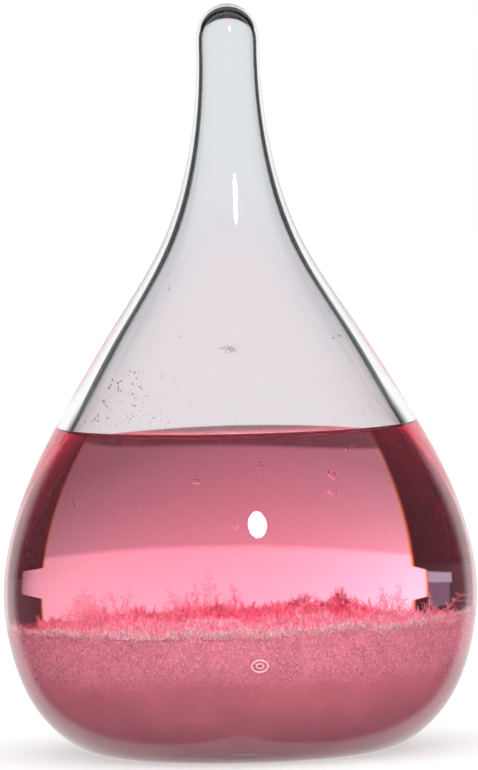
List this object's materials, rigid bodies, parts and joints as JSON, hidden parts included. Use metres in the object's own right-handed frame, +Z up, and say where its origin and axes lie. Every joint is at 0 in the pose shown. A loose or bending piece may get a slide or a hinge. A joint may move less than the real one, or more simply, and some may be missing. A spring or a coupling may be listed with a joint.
{
  "type": "storm glass",
  "caption": "Sealed drop-shaped glass vessel with a slender neck, part filled with dyed liquid over a bed of crystals; stands on a flat foot.",
  "frame": {"origin": "centre of the foot, in the plane that it stands on", "axes": "+Z up along the vessel's axis; +X and +Y in the plane of the foot"},
  "size_m": [0.08, 0.08, 0.1262],
  "materials": {
    "clear_glass": "polished, clear",
    "silicone": "translucent white, satin",
    "cured_sealant": "milky, glossy",
    "dyed_liquid": "clear, dyed rose pink",
    "settled_crystal": "fine felted crystals",
    "grown_crystal": "translucent crystal",
    "crystal_flake": "translucent crystal"
  },
  "bodies": {
    "root": {"glass_vessel": "clear_glass", "fill_stopper": "silicone", "stopper_sealant": "cured_sealant", "storm_liquid": "dyed_liquid", "crystal_bed": "settled_crystal", "crystal_fronds": "grown_crystal", "loose_flakes": "crystal_flake"}
  },
  "joints": []
}
